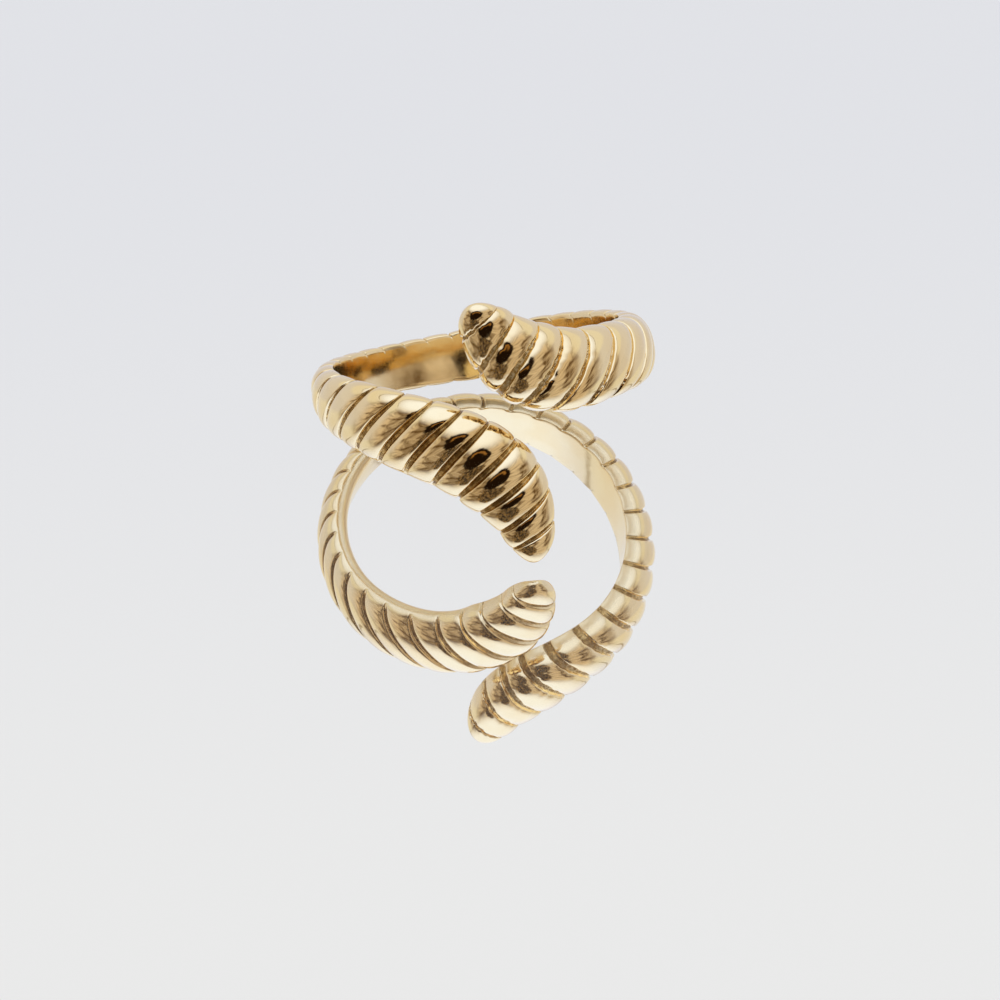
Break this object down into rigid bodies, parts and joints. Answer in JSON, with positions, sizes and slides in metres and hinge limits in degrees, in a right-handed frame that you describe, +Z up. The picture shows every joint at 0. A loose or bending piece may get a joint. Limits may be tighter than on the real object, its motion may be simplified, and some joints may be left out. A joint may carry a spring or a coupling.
{
  "type": "snake ring",
  "caption": "Open bypass finger ring cast as a slim ribbed snake body that wraps round the finger and ends in plain rounded tips, in polished gold colour.",
  "frame": {"origin": "middle of the resting ring's bounding box, on the surface it lies on", "axes": "+Z up from the surface; +Y towards the back of the band, away from the two tips; +X to the right as one looks along +Y, where the band climbs into the upper arm. The finger axis leans from +Z towards +Y and a little towards -X."},
  "size_m": [0.0206, 0.0218, 0.0152],
  "materials": {
    "polished_gold": "polished gold plate over brass, darker in the grooves"
  },
  "bodies": {
    "root": {"ring": "polished_gold"}
  },
  "joints": []
}
